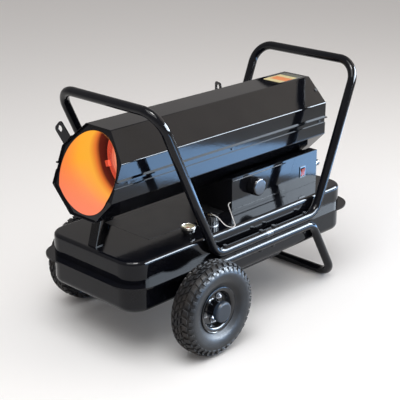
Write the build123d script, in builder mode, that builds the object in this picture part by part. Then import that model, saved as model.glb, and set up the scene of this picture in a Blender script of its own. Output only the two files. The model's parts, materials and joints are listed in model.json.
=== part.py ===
from build123d import *

# Portable forced-air kerosene heater: eight-sided barrel over a stamped fuel tank, tube frame, two wheels.
# X runs across the heater (controls on +X), Y along it (outlet on -Y), Z up from the floor. Millimetres.
import os
from math import cos, radians, sin, sqrt, tan

os.makedirs("parts", exist_ok=True)

# ---- driving dimensions -------------------------------------------------------------------------
SHEET = 1.5                                    # thickness of the stamped covers
GAP = 0.3                                      # room between pieces that only lie near each other

TANK_HX, TANK_HY = 171.0, 431.0                # half width and half length inside the seam flange
TANK_TOP, SEAM_Z, TANK_BOTTOM = 282.0, 220.0, 141.0
TANK_R = 55.0                                  # corner radius seen from above
FLANGE_LIP, HEM = 24.3, 2.2                    # seam flange beyond the walls, and the hem at its edge
PAN_FRONT, PAN_REAR, PAN_HX, PAN_DEPTH = -190.0, 185.0, 150.0, 11.5

BARREL_Z, FLAT = 478.25, 113.5                 # axis of the barrel, and from it to each of the eight sides
BARREL_REAR, LIP_Y = 392.0, -444.0
RAKE = 0.3975                                  # the front edge leans back this much per mm of height

TUBE_R, TUBE_WALL, RAIL_X = 12.7, 1.8, 188.0   # one inch frame tube
HANDLE_Z, GROUND_Y = 652.0, 361.0
AXLE_Y, AXLE_Z, AXLE_R = -228.0, 127.0, 7.95

WHEEL_R, WHEEL_X = 127.0, 246.0
CAP_X, CAP_Y, CAP_R = 110.0, -95.0, 23.0       # fuel filler
GAUGE_X, GAUGE_Y = 121.0, -188.0

BOX_X0, BOX_X1, BOX_Y0, BOX_Y1 = -60.0, 98.4, 4.0, 376.0
KNOB_Y, KNOB_Z, KNOB_R = 88.0, 344.0, 26.0
SWITCH_Y, SWITCH_Z = 310.0, 329.0

# ---- worked out from them -----------------------------------------------------------------------
HALF_SIDE = FLAT * tan(radians(22.5))
CREASE_LO = BARREL_Z - HALF_SIDE
BARREL_BOTTOM = BARREL_Z - FLAT
FLANGE_HX, FLANGE_HY = TANK_HX + FLANGE_LIP, TANK_HY + FLANGE_LIP
FOOT_Z = SEAM_Z + SHEET + TUBE_R + 0.05
RAIL_Z = SEAM_Z - SHEET - TUBE_R - 0.05
BARREL_AXIS = Axis((0, 0, BARREL_Z), (0, 1, 0))
DIAGONAL = sqrt(0.5)


def at_y(y):
    """A sketch plane across the heater: local x is X, local y is Z, and it faces the outlet, -Y."""
    return Plane.XZ.offset(-y)


def at_x(x):
    """A sketch plane along the heater: local x is Y, local y is Z, and it faces +X."""
    return Plane.YZ.offset(x)


def save(part, name):
    """Label one piece and write it."""
    part.label = name
    export_step(part, f"parts/{name}.step")


def both_sides(points):
    """The points, then the same ones on the other side of the middle in the opposite order."""
    return points + [(-x, z) for x, z in reversed(points)]


def bent_tube(points, radii, outer=TUBE_R, inner=TUBE_R - TUBE_WALL):
    """A round tube along straight runs joined by arcs; an inner radius of 0 makes it solid."""
    with BuildPart() as tube:
        with BuildLine() as route:
            FilletPolyline(*points, radius=radii)
        with BuildSketch(Plane(origin=route.wire() @ 0, z_dir=route.wire() % 0)):
            Circle(outer)
            if inner:
                Circle(inner, mode=Mode.SUBTRACT)
        sweep(path=route.wire())
    return tube.part


def cord_radii(points):
    """The bend at each inner point: 0.45 of its shorter run over the tangent of half the turn."""
    spots = [Vector(*p) for p in points]
    radii = []
    for before, here, after in zip(spots, spots[1:], spots[2:]):
        turn = radians((here - before).get_angle(after - here))
        shorter = min((here - before).length, (after - here).length)
        radii.append(0.45 * shorter / tan(turn / 2))
    return radii


# ---- fuel tank ----------------------------------------------------------------------------------
BOLT_R = 3.0
FRONT_BOLT_Y, REAR_BOLT_Y = (-118.0, 27.0), (78.0, 216.0)
BOLT_SPOTS = [(side * RAIL_X, y) for side in (-1, 1) for y in FRONT_BOLT_Y + REAR_BOLT_Y]
NECK_R, STEM_R = 18.0, 9.0
LINE_R, LINE_HOLE = 3.0, 3.4                   # fuel and air lines, and the holes that they pass
FUEL_X, FUEL_Y = 0.0, 30.0

with BuildPart() as tank_upper:
    with BuildSketch(Plane.XY.offset(SEAM_Z)):
        RectangleRounded(2 * TANK_HX, 2 * TANK_HY, TANK_R)
    extrude(amount=TANK_TOP - SEAM_Z)
    fillet(tank_upper.faces().sort_by(Axis.Z)[-1].edges(), 10)
    offset(amount=-SHEET, openings=tank_upper.faces().sort_by(Axis.Z)[0])
    with BuildSketch(Plane.XY.offset(SEAM_Z)):
        RectangleRounded(2 * (FLANGE_HX - HEM - GAP), 2 * (FLANGE_HY - HEM - GAP), TANK_R + FLANGE_LIP - HEM)
        RectangleRounded(2 * (TANK_HX - SHEET), 2 * (TANK_HY - SHEET), TANK_R - SHEET, mode=Mode.SUBTRACT)
        with Locations(*BOLT_SPOTS):
            Circle(BOLT_R + 0.2, mode=Mode.SUBTRACT)
    extrude(amount=SHEET)
    with BuildSketch(Plane.XY.offset(TANK_TOP - 5)):
        with Locations((CAP_X, CAP_Y)):
            Circle(NECK_R + 0.1)
        with Locations((GAUGE_X, GAUGE_Y)):
            Circle(STEM_R + 0.1)
        with Locations((FUEL_X, FUEL_Y)):
            Circle(LINE_HOLE)
    extrude(amount=10, mode=Mode.SUBTRACT)
save(tank_upper.part, "tank_upper")

DRAIN_X, DRAIN_Y, DRAIN_R = 110.0, 330.0, 5.0
pan_centre = (0, (PAN_FRONT + PAN_REAR) / 2)
pan_size = (2 * PAN_HX, PAN_REAR - PAN_FRONT, 40)
pan_inside = (pan_size[0] - 2 * SHEET, pan_size[1] - 2 * SHEET, pan_size[2] - SHEET)

with BuildPart() as tank_lower:
    with BuildSketch(Plane.XY.offset(TANK_BOTTOM)):
        RectangleRounded(2 * TANK_HX, 2 * TANK_HY, TANK_R)
    extrude(amount=SEAM_Z - TANK_BOTTOM)
    fillet(tank_lower.faces().sort_by(Axis.Z)[0].edges(), 18)
    offset(amount=-SHEET, openings=tank_lower.faces().sort_by(Axis.Z)[-1])
    # the seam flange, with the hem that is folded up round the upper half's edge
    with BuildSketch(Plane.XY.offset(SEAM_Z)):
        RectangleRounded(2 * FLANGE_HX, 2 * FLANGE_HY, TANK_R + FLANGE_LIP)
        RectangleRounded(2 * (TANK_HX - SHEET), 2 * (TANK_HY - SHEET), TANK_R - SHEET, mode=Mode.SUBTRACT)
        with Locations(*BOLT_SPOTS):
            Circle(BOLT_R + 0.2, mode=Mode.SUBTRACT)
    extrude(amount=-SHEET)
    with BuildSketch(Plane.XY.offset(SEAM_Z - SHEET - 0.7)):
        RectangleRounded(2 * FLANGE_HX, 2 * FLANGE_HY, TANK_R + FLANGE_LIP)
        RectangleRounded(2 * (FLANGE_HX - HEM), 2 * (FLANGE_HY - HEM), TANK_R + FLANGE_LIP - HEM,
                         mode=Mode.SUBTRACT)
    extrude(amount=2 * SHEET + 1.4)
    # the deeper pan between the axle and the rear
    with BuildSketch(Plane.XY.offset(TANK_BOTTOM - 0.5)):
        with Locations(pan_centre):
            RectangleRounded(*pan_inside)
    extrude(amount=SHEET + 1, mode=Mode.SUBTRACT)
    with BuildSketch(Plane.XY.offset(TANK_BOTTOM - PAN_DEPTH)):
        with Locations(pan_centre):
            RectangleRounded(*pan_size)
    extrude(amount=SHEET)
    with BuildSketch(Plane.XY.offset(TANK_BOTTOM - PAN_DEPTH)):
        with Locations(pan_centre):
            RectangleRounded(*pan_size)
            RectangleRounded(*pan_inside, mode=Mode.SUBTRACT)
    extrude(amount=PAN_DEPTH + SHEET)
    with BuildSketch(Plane.XY.offset(TANK_BOTTOM - 1)):
        with Locations((DRAIN_X, DRAIN_Y)):
            Circle(DRAIN_R + 0.1)
    extrude(amount=4, mode=Mode.SUBTRACT)
save(tank_lower.part, "tank_lower")

with BuildPart() as drain_plug:
    with BuildSketch(Plane.XY.offset(TANK_BOTTOM)):
        with Locations((DRAIN_X, DRAIN_Y)):
            RegularPolygon(9, 6)
    extrude(amount=-6)
    with BuildSketch(Plane.XY.offset(TANK_BOTTOM)):
        with Locations((DRAIN_X, DRAIN_Y)):
            Circle(DRAIN_R)
    extrude(amount=8)
    chamfer(drain_plug.faces().sort_by(Axis.Z)[0].edges(), 1)
save(drain_plug.part, "drain_plug")

with BuildPart() as filler_neck:
    with BuildSketch(Plane.XY.offset(TANK_TOP)):
        with Locations((CAP_X, CAP_Y)):
            Circle(24)
            Circle(NECK_R - 2, mode=Mode.SUBTRACT)
    extrude(amount=2)
    with BuildSketch(Plane.XY.offset(TANK_TOP - 8)):
        with Locations((CAP_X, CAP_Y)):
            Circle(NECK_R)
            Circle(NECK_R - 2, mode=Mode.SUBTRACT)
    extrude(amount=24)
save(filler_neck.part, "filler_neck")

CAP_BASE, CAP_TOP = TANK_TOP + 2.6, TANK_TOP + 25.0
POST_R, EYE_Z = 3.5, TANK_TOP + 29.0

with BuildPart() as fuel_cap:
    with BuildSketch(Plane.XY.offset(CAP_BASE)):
        with Locations((CAP_X, CAP_Y)):
            Circle(CAP_R - 1.2)
            with PolarLocations(CAP_R - 1.4, 20):
                Circle(1.4)
    extrude(amount=CAP_TOP - CAP_BASE)
    with BuildSketch(Plane.XY.offset(CAP_BASE)):
        with Locations((CAP_X, CAP_Y)):
            Circle(NECK_R + 0.5)
    extrude(amount=CAP_TOP - CAP_BASE - 5, mode=Mode.SUBTRACT)
    # the post that the tether's eye turns on
    with BuildSketch(Plane.XY.offset(CAP_TOP)):
        with Locations((CAP_X, CAP_Y)):
            Circle(POST_R)
    extrude(amount=6)
    with BuildSketch(Plane.XY.offset(CAP_TOP + 6)):
        with Locations((CAP_X, CAP_Y)):
            Circle(5.5)
    extrude(amount=1.6)
save(fuel_cap.part, "fuel_cap")

EYE_REACH = 11.0
with BuildPart() as tether_eye:
    with BuildSketch(Plane.XY.offset(EYE_Z - 1.5)):
        with Locations((CAP_X, CAP_Y)):
            Circle(6.5)
        with Locations((CAP_X + EYE_REACH - 3.5, CAP_Y)):
            Rectangle(7, 4)
        with Locations((CAP_X, CAP_Y)):
            Circle(POST_R + 0.07, mode=Mode.SUBTRACT)
    extrude(amount=3)
save(tether_eye.part, "tether_eye")

# The tether's route: from the eye out over the tank's edge and back up to the front of the control box.
TETHER_D = 2.5
TETHER = [
    (CAP_X + EYE_REACH, CAP_Y, EYE_Z), (133, -95, EYE_Z), (145, -96, 307.5), (156, -96, 300),
    (166, -93.5, 293), (175.5, -87.5, 288.5), (180, -77, 287), (176.5, -66.5, 287.5),
    (167.5, -58, 288), (156.5, -49.5, 289), (145, -40.5, 291), (133, -32, 294.5),
    (121, -24.5, 299.5), (109.5, -17, 306), (95, -8, 313), (95, BOX_Y0, 313),
]
tether_bends = cord_radii(TETHER)
print("tether bends", [round(r, 1) for r in tether_bends])
cap_tether = bent_tube(TETHER, tether_bends, TETHER_D / 2, 0)
save(cap_tether, "cap_tether")

# ---- fuel gauge ---------------------------------------------------------------------------------
PIVOT_Z, ARM, ARM_DROP = 215.0, 95.0, radians(30)
DIAL_Z = TANK_TOP + 18
ROD_BOTTOM = PIVOT_Z - 4

with BuildPart() as gauge_stem:
    with BuildSketch(Plane.XY.offset(TANK_TOP - 12)):
        with Locations((GAUGE_X, GAUGE_Y)):
            Circle(STEM_R)
    extrude(amount=DIAL_Z - TANK_TOP + 12)
    with BuildSketch(Plane.XY.offset(TANK_TOP)):
        with Locations((GAUGE_X, GAUGE_Y)):
            RegularPolygon(15, 6)
    extrude(amount=5)
    with BuildSketch(Plane.XY.offset(TANK_TOP + 10)):
        with Locations((GAUGE_X, GAUGE_Y)):
            Circle(18.5)
    extrude(amount=DIAL_Z - TANK_TOP - 10)
    # the rod down into the tank, and the float arm's pin
    with BuildSketch(Plane.XY.offset(ROD_BOTTOM)):
        with Locations((GAUGE_X, GAUGE_Y)):
            Circle(2.5)
    extrude(amount=TANK_TOP - 12 - ROD_BOTTOM)
    with BuildSketch(at_x(GAUGE_X)):
        with Locations((GAUGE_Y, PIVOT_Z)):
            Circle(2)
    extrude(amount=9)
save(gauge_stem.part, "gauge_stem")

with BuildPart() as gauge_bezel:
    with BuildSketch(Plane.XY.offset(DIAL_Z)):
        with Locations((GAUGE_X, GAUGE_Y)):
            Circle(20)
            Circle(16.5, mode=Mode.SUBTRACT)
    extrude(amount=7)
    fillet(gauge_bezel.edges().group_by(Axis.Z)[-1], 1.6)
save(gauge_bezel.part, "gauge_bezel")

with BuildPart() as gauge_dial:
    with BuildSketch(Plane.XY.offset(DIAL_Z)):
        with Locations((GAUGE_X, GAUGE_Y)):
            Circle(16.2)
            Circle(1.6, mode=Mode.SUBTRACT)
    extrude(amount=1.2)
save(gauge_dial.part, "gauge_dial")

with BuildPart() as gauge_needle:
    with BuildSketch(Plane.XY.offset(DIAL_Z + 2.2)):
        with Locations((GAUGE_X, GAUGE_Y)):
            Circle(2.2)
        with BuildLine():
            Polyline((GAUGE_X - 1.2, GAUGE_Y), (GAUGE_X, GAUGE_Y - 13), (GAUGE_X + 1.2, GAUGE_Y), close=True)
        make_face()
    extrude(amount=0.8)
    with BuildSketch(Plane.XY.offset(DIAL_Z + GAP)):
        with Locations((GAUGE_X, GAUGE_Y)):
            Circle(1.0)
    extrude(amount=2)
save(gauge_needle.part, "gauge_needle")

arm_end = (GAUGE_Y - ARM * cos(ARM_DROP), PIVOT_Z - ARM * sin(ARM_DROP))
with BuildPart() as gauge_float:
    with BuildSketch(at_x(GAUGE_X + 5)):
        with BuildLine():
            Line((GAUGE_Y, PIVOT_Z), arm_end)
        trace(line_width=3)
        with Locations((GAUGE_Y, PIVOT_Z)):
            Circle(4)
            Circle(2.06, mode=Mode.SUBTRACT)
    extrude(amount=2)
    with BuildSketch(at_x(GAUGE_X - 10)):
        with Locations(arm_end):
            Circle(12)
    extrude(amount=32)
save(gauge_float.part, "gauge_float")

# ---- control box --------------------------------------------------------------------------------
BOX_LOW_TOP, BOX_HIGH_TOP, BOX_STEP = 362.0, 382.0, 52.0
PANEL_X0, PANEL_X1 = 98.5, 100.0
SEAM_LEAN, SEAM_BASE_Y = 0.4156, 232.5         # the slanted joint between the two side panels
GLAND_X, GLAND_Z = 85.0, 334.0
slant = BOX_HIGH_TOP - BOX_LOW_TOP

with BuildPart() as control_box:
    with BuildSketch(at_y(BOX_Y1)):
        with BuildLine():
            Polyline((BOX_X0, TANK_TOP), (BOX_X1, TANK_TOP), (BOX_X1, BOX_HIGH_TOP), (BOX_STEP + slant, BOX_HIGH_TOP),
                     (BOX_STEP, BOX_LOW_TOP), (BOX_X0, BOX_LOW_TOP), close=True)
        make_face()
    extrude(amount=BOX_Y1 - BOX_Y0)
    fillet(control_box.edges().filter_by(Axis.Y).sort_by(Axis.X)[:2], 3)
    with BuildSketch(at_y(BOX_Y1 - SHEET)):
        with BuildLine():
            Polyline((BOX_X0 + SHEET, TANK_TOP + SHEET), (BOX_X1 + 9, TANK_TOP + SHEET),
                     (BOX_X1 + 9, BOX_HIGH_TOP - SHEET), (BOX_STEP + slant + 0.6, BOX_HIGH_TOP - SHEET),
                     (BOX_STEP + 0.6, BOX_LOW_TOP - SHEET), (BOX_X0 + SHEET, BOX_LOW_TOP - SHEET), close=True)
        make_face()
    extrude(amount=BOX_Y1 - BOX_Y0 - 2 * SHEET, mode=Mode.SUBTRACT)
    with BuildSketch(Plane.XY.offset(TANK_TOP - 1)):
        with Locations((FUEL_X, FUEL_Y)):
            Circle(LINE_HOLE)
    extrude(amount=BOX_HIGH_TOP - TANK_TOP, mode=Mode.SUBTRACT)
    with BuildSketch(at_y(BOX_Y1 + 1)):
        with Locations((GLAND_X, GLAND_Z)):
            Circle(8.1)
    extrude(amount=4, mode=Mode.SUBTRACT)
save(control_box.part, "control_box")


def seam_y(z):
    """Where the slanted joint between the side panels stands at this height."""
    return SEAM_BASE_Y + (z - TANK_TOP) * SEAM_LEAN


panel_z0, panel_z1 = TANK_TOP + GAP, BOX_HIGH_TOP - GAP
BEADS = ((panel_z0 + 9.5, 1.5), (panel_z1 - 7, 1.5))

with BuildPart() as side_panel:
    with BuildSketch(at_x(PANEL_X0)):
        with BuildLine():
            Polyline((BOX_Y0, panel_z0), (seam_y(panel_z0), panel_z0), (seam_y(panel_z1), panel_z1),
                     (BOX_Y0, panel_z1), close=True)
        make_face()
        with Locations((KNOB_Y, KNOB_Z)):
            Circle(5.2, mode=Mode.SUBTRACT)
    extrude(amount=PANEL_X1 - PANEL_X0)
    for bead_z, bead_r in BEADS:
        with BuildSketch(at_y(seam_y(panel_z0) - 3)):
            with Locations((PANEL_X1 + 0.2, bead_z)):
                Circle(bead_r)
        extrude(amount=seam_y(panel_z0) - 6 - BOX_Y0)
save(side_panel.part, "side_panel")

with BuildPart() as switch_plate:
    with BuildSketch(at_x(PANEL_X0)):
        with BuildLine():
            Polyline((seam_y(panel_z0) + 0.5, panel_z0), (BOX_Y1, panel_z0), (BOX_Y1, panel_z1),
                     (seam_y(panel_z1) + 0.5, panel_z1), close=True)
        make_face()
        with Locations((SWITCH_Y, SWITCH_Z)):
            Rectangle(20.4, 28.4, mode=Mode.SUBTRACT)
    extrude(amount=PANEL_X1 - PANEL_X0)
save(switch_plate.part, "switch_plate")

KNOB_BACK, KNOB_FACE, SPINDLE_R, SPINDLE_END = 102.0, 130.0, 3.0, 120.0
with BuildPart() as thermostat:
    with BuildSketch(at_x(72)):
        with Locations((KNOB_Y, KNOB_Z)):
            Circle(20)
    extrude(amount=PANEL_X0 - 72.2)
    with BuildSketch(at_x(PANEL_X0 - 1)):
        with Locations((KNOB_Y, KNOB_Z)):
            Circle(5)
    extrude(amount=4)
    with BuildSketch(at_x(KNOB_BACK - 1)):
        with Locations((KNOB_Y, KNOB_Z)):
            Circle(SPINDLE_R)
    extrude(amount=SPINDLE_END - KNOB_BACK + 1)
save(thermostat.part, "thermostat")

with BuildPart() as thermostat_knob:
    with BuildSketch(at_x(KNOB_BACK)):
        with Locations((KNOB_Y, KNOB_Z)):
            Circle(KNOB_R - 1)
    extrude(amount=KNOB_FACE - KNOB_BACK)
    fillet(thermostat_knob.faces().sort_by(Axis.X)[-1].edges(), 5)
    with BuildSketch(at_x(KNOB_BACK + 2)):
        with Locations((KNOB_Y, KNOB_Z)):
            with PolarLocations(KNOB_R - 1.2, 36):
                Circle(1.2)
    extrude(amount=20)
    with BuildSketch(at_x(KNOB_BACK)):
        with Locations((KNOB_Y, KNOB_Z)):
            Circle(SPINDLE_R + 0.06)
    extrude(amount=SPINDLE_END + 1 - KNOB_BACK, mode=Mode.SUBTRACT)
save(thermostat_knob.part, "thermostat_knob")

# The rocker turns on two stub pins whose line is level with the face of the plate.
ROCKER_HY, CAVITY_HY, CAVITY_HZ, STUB_R = 8.0, 8.5, 12.6, 1.5
with BuildPart() as switch_frame:
    with BuildSketch(at_x(PANEL_X1)):
        with Locations((SWITCH_Y, SWITCH_Z)):
            RectangleRounded(25, 33.5, 2)
    extrude(amount=2)
    with BuildSketch(at_x(84)):
        with Locations((SWITCH_Y, SWITCH_Z)):
            Rectangle(20, 28)
    extrude(amount=PANEL_X1 - 84)
    with BuildSketch(at_x(85.5)):
        with Locations((SWITCH_Y, SWITCH_Z)):
            Rectangle(2 * CAVITY_HY, 2 * CAVITY_HZ)
    extrude(amount=20, mode=Mode.SUBTRACT)
    with BuildSketch(at_y(SWITCH_Y + 9.8)):
        with Locations((PANEL_X1, SWITCH_Z)):
            Circle(STUB_R + 0.06)
    extrude(amount=19.6, mode=Mode.SUBTRACT)
save(switch_frame.part, "switch_frame")

with BuildPart() as switch_rocker:
    with BuildSketch(at_y(SWITCH_Y + ROCKER_HY)):
        with Locations((PANEL_X1, SWITCH_Z)):
            Polygon((-6, -7), (2.5, -11.5), (2.8, 0), (5.6, 10.8), (-6, 7), align=None)
    extrude(amount=2 * ROCKER_HY)
    with BuildSketch(at_y(SWITCH_Y + 9.5)):
        with Locations((PANEL_X1, SWITCH_Z)):
            Circle(STUB_R)
    extrude(amount=19)
save(switch_rocker.part, "switch_rocker")

BOARD_Z = 292.0
with BuildPart() as control_board:
    with BuildSketch(Plane.XY.offset(BOARD_Z)):
        with Locations((45, 170)):
            Rectangle(70, 100)
    extrude(amount=1.6)
    with BuildSketch(Plane.XY.offset(TANK_TOP + SHEET)):
        with Locations((45, 170)):
            with GridLocations(58, 88, 2, 2):
                Circle(3)
    extrude(amount=BOARD_Z - TANK_TOP - SHEET)
    with BuildSketch(Plane.XY.offset(BOARD_Z + 1.6)):
        with Locations((30, 145), (30, 172)):
            Rectangle(19, 16)
        with Locations((62, 150), (62, 170), (62, 190)):
            Circle(6)
        with Locations((30, 200)):
            Rectangle(30, 10)
    extrude(amount=15)
save(control_board.part, "control_board")

with BuildPart() as ignition_transformer:
    with BuildSketch(Plane.XY.offset(TANK_TOP + SHEET)):
        with Locations((-15, 270)):
            RectangleRounded(60, 70, 4)
    extrude(amount=52)
    fillet(ignition_transformer.faces().sort_by(Axis.Z)[-1].edges(), 3)
    with BuildSketch(Plane.XY.offset(TANK_TOP + SHEET + 52)):
        with Locations((-15, 255), (-15, 285)):
            Circle(5)
    extrude(amount=12)
save(ignition_transformer.part, "ignition_transformer")

with BuildPart() as cord_gland:
    with BuildSketch(at_y(BOX_Y1)):
        with Locations((GLAND_X, GLAND_Z)):
            RegularPolygon(11, 6)
    extrude(amount=-8)
    with BuildSketch(at_y(BOX_Y1 + 24)):
        with Locations((GLAND_X, GLAND_Z)):
            Circle(9.5)
    extrude(amount=16)
    fillet(cord_gland.faces().sort_by(Axis.Y)[-1].edges(), 3)
    with BuildSketch(at_y(BOX_Y1 + 1)):
        with Locations((GLAND_X, GLAND_Z)):
            Circle(8)
    extrude(amount=11)
    with BuildSketch(at_y(BOX_Y1 + 25)):
        with Locations((GLAND_X, GLAND_Z)):
            Circle(4.2)
    extrude(amount=40, mode=Mode.SUBTRACT)
save(cord_gland.part, "cord_gland")

# ---- barrel -------------------------------------------------------------------------------------
LIP_X, LIP_Z0, LIP_Z1 = FLAT + 7.0, 481.0, 484.0   # the folded lip along the seam
SKIRT_X, SKIRT_Z = FLAT - 4.7, 468.0               # outside of the skirt that hangs inside the lower shell
STEP_X, STEP_Z0, STEP_Z1 = FLAT - 2.9, 466.0, 479.5
SIDE_SCREW_Y, SIDE_SCREW_Z = (-384.0, -9.0, 366.0), 474.5
GUARD_SCREW_Y = 383.0
SCREW_R = 2.0
facet = FLAT * DIAGONAL

side_screws = [
    Plane(origin=(side * STEP_X, y, SIDE_SCREW_Z), x_dir=(0, 1, 0), z_dir=(side, 0, 0))
    for side in (-1, 1) for y in SIDE_SCREW_Y
]
guard_screws = [
    Plane(origin=(side * facet, GUARD_SCREW_Y, BARREL_Z + facet), x_dir=(0, 1, 0), z_dir=(side, 0, 1))
    for side in (-1, 1)
]


def octagon(flat):
    """The right-hand corners of the barrel's section, from the top flat down to the bottom one."""
    half = flat * tan(radians(22.5))
    return [(half, BARREL_Z + flat), (flat, BARREL_Z + half), (flat, BARREL_Z - half), (half, BARREL_Z - flat)]


def in_front(back):
    """The outline, seen from the side, of what stands before the raked edge moved back this far."""
    top, low = BARREL_Z + FLAT + 40, BARREL_BOTTOM - 40
    return [(LIP_Y - 60, low), (LIP_Y + back, low), (LIP_Y + back, CREASE_LO),
            (LIP_Y + back + (top - CREASE_LO) * RAKE, top), (LIP_Y - 60, top)]


outer, inner = octagon(FLAT), octagon(FLAT - SHEET)
FOLD_OUTSIDE, FOLD_INSIDE = 5.0, 2.0               # radii of the long folds


def fold_corners(section, corners):
    """The section's vertices, on both sides, that lie at these corners."""
    spots = [(side * x, z) for side in (-1, 1) for x, z in corners]
    return [v for v in section.vertices() if any(abs(v.X - x) + abs(v.Y - z) < 0.01 for x, z in spots)]


with BuildPart() as upper_shell:
    with BuildSketch(at_y(BARREL_REAR)) as upper_section:
        with BuildLine():
            Polyline(*both_sides([
                outer[0], outer[1], (FLAT, LIP_Z1), (LIP_X, LIP_Z1), (LIP_X, LIP_Z0), (SKIRT_X, LIP_Z0),
                (SKIRT_X, SKIRT_Z), (SKIRT_X - SHEET, SKIRT_Z), (SKIRT_X - SHEET, LIP_Z0 + SHEET),
                (FLAT - SHEET, LIP_Z0 + SHEET), inner[1], inner[0],
            ]), close=True)
        make_face()
        fillet(fold_corners(upper_section, outer[:2]), FOLD_OUTSIDE)
        fillet(fold_corners(upper_section, inner[:2]), FOLD_INSIDE)
    extrude(amount=BARREL_REAR - LIP_Y)
    with BuildSketch(at_x(-FLAT - 20)):
        Polygon(*in_front(0), align=None)
    extrude(amount=2 * FLAT + 40, mode=Mode.SUBTRACT)
    for spot in side_screws + guard_screws:
        with BuildSketch(spot):
            Circle(SCREW_R + 0.2)
        extrude(amount=-6, mode=Mode.SUBTRACT)
save(upper_shell.part, "upper_shell")

with BuildPart() as lower_shell:
    with BuildSketch(at_y(BARREL_REAR)) as lower_section:
        with BuildLine():
            Polyline(*both_sides([
                outer[3], outer[2], (FLAT, STEP_Z0), (STEP_X, STEP_Z0), (STEP_X, STEP_Z1),
                (STEP_X - SHEET, STEP_Z1), (STEP_X - SHEET, STEP_Z0 - SHEET), (FLAT - SHEET, STEP_Z0 - SHEET),
                inner[2], inner[3],
            ]), close=True)
        make_face()
        fillet(fold_corners(lower_section, outer[2:]), FOLD_OUTSIDE)
        fillet(fold_corners(lower_section, inner[2:]), FOLD_INSIDE)
    extrude(amount=BARREL_REAR - LIP_Y)
    with BuildSketch(at_x(-FLAT - 20)):
        Polygon(*in_front(0), align=None)
    extrude(amount=2 * FLAT + 40, mode=Mode.SUBTRACT)
    for spot in side_screws:
        with BuildSketch(spot):
            Circle(SCREW_R + 0.2)
        extrude(amount=-6, mode=Mode.SUBTRACT)
    with BuildSketch(Plane.XY.offset(BARREL_BOTTOM - 1)):
        with Locations((FUEL_X, FUEL_Y)):
            Circle(LINE_HOLE)
    extrude(amount=4, mode=Mode.SUBTRACT)
save(lower_shell.part, "lower_shell")

with BuildPart() as cover_screws:
    for spot in side_screws + guard_screws:
        with BuildSketch(spot):
            Circle(4.5)
        extrude(amount=2.4)
        with BuildSketch(spot):
            Circle(SCREW_R)
        extrude(amount=-6.5)
save(cover_screws.part, "cover_screws")

LUG_T, LUG_W, LUG_HOLE, LUG_HOLE_DROP = 3.0, 37.0, 8.5, 14.5
FRONT_LUG = {"across": -28.5, "y": -397.5, "tall": 52.0}      # square to the far upper slope
REAR_LUG = {"x": -80.0, "y": 140.0, "top": 598.0, "turned": -20.0}   # upright, and turned about Z


def lug_blade(foot, tall):
    """The outline of a strap standing on this plane's origin, with round top corners and a hole."""
    with BuildSketch(foot) as blade:
        with Locations((0, tall / 2 - 5)):
            RectangleRounded(LUG_W, tall + 10, 9.5)
        with Locations((0, -LUG_W)):
            Rectangle(2 * LUG_W, 2 * LUG_W, mode=Mode.SUBTRACT)
        with Locations((0, tall - LUG_HOLE_DROP)):
            Circle(LUG_HOLE, mode=Mode.SUBTRACT)
    return blade.sketch


def slope_plane(x, y, z):
    """A plane lying on the far upper slope of the barrel."""
    return Plane(origin=(x, y, z), x_dir=(1, 0, 1), z_dir=(-1, 0, 1))


with BuildPart() as lifting_lugs:
    slope_x = -facet + FRONT_LUG["across"] * DIAGONAL
    slope_z = BARREL_Z + facet + FRONT_LUG["across"] * DIAGONAL
    front_foot = Plane(origin=(slope_x, FRONT_LUG["y"], slope_z), x_dir=(1, 0, 1), z_dir=(0, -1, 0))
    extrude(lug_blade(front_foot, FRONT_LUG["tall"]), amount=LUG_T)
    # the rear strap is bent upright, so its lower edge is cut off along the slope
    turn = radians(REAR_LUG["turned"])
    rear_slope_z = BARREL_Z + 2 * facet + REAR_LUG["x"]
    rear_foot = Plane(origin=(REAR_LUG["x"], REAR_LUG["y"], rear_slope_z - LUG_W / 2),
                      x_dir=(cos(turn), sin(turn), 0), z_dir=(sin(turn), -cos(turn), 0))
    extrude(lug_blade(rear_foot, REAR_LUG["top"] - rear_slope_z + LUG_W / 2), amount=LUG_T)
    with BuildSketch(at_y(REAR_LUG["y"] + 40)):
        Polygon(*both_sides(octagon(FLAT)), align=None)
    extrude(amount=80, mode=Mode.SUBTRACT)
    # each foot lies flat on the slope, with two rivet heads
    for x, y, z in ((slope_x, FRONT_LUG["y"] + 10, slope_z), (REAR_LUG["x"], REAR_LUG["y"] + 12, rear_slope_z)):
        with BuildSketch(slope_plane(x, y, z)):
            Rectangle(LUG_W, 20)
        extrude(amount=2.5)
        with BuildSketch(slope_plane(x, y + 1, z)):
            with Locations((-10, 0), (10, 0)):
                Circle(3.2)
        extrude(amount=4.5)
save(lifting_lugs.part, "lifting_lugs")


def barrel_blank(flat=FLAT - SHEET - 0.2):
    """Inside the current sketch: the barrel's inner section, notched where the side seams run."""
    corners = octagon(flat)
    Polygon(*both_sides(corners), align=None)
    with Locations((-FLAT, 475), (FLAT, 475)):
        Rectangle(14, 22, mode=Mode.SUBTRACT)


OUTLET_R, PLATE_BACK = 103.0, 6.0
with BuildPart() as front_plate:
    with BuildSketch(at_y(-300)):
        barrel_blank()
        with Locations((0, BARREL_Z)):
            Circle(OUTLET_R, mode=Mode.SUBTRACT)
    extrude(amount=160)
    with BuildSketch(at_x(-FLAT - 20)):
        Polygon(*in_front(PLATE_BACK), align=None)
    extrude(amount=2 * FLAT + 40, mode=Mode.SUBTRACT)
    with BuildSketch(at_x(-FLAT - 20)):
        Polygon(*in_front(PLATE_BACK + SHEET), align=None)
    extrude(amount=2 * FLAT + 40, mode=Mode.INTERSECT)
save(front_plate.part, "front_plate")

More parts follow.
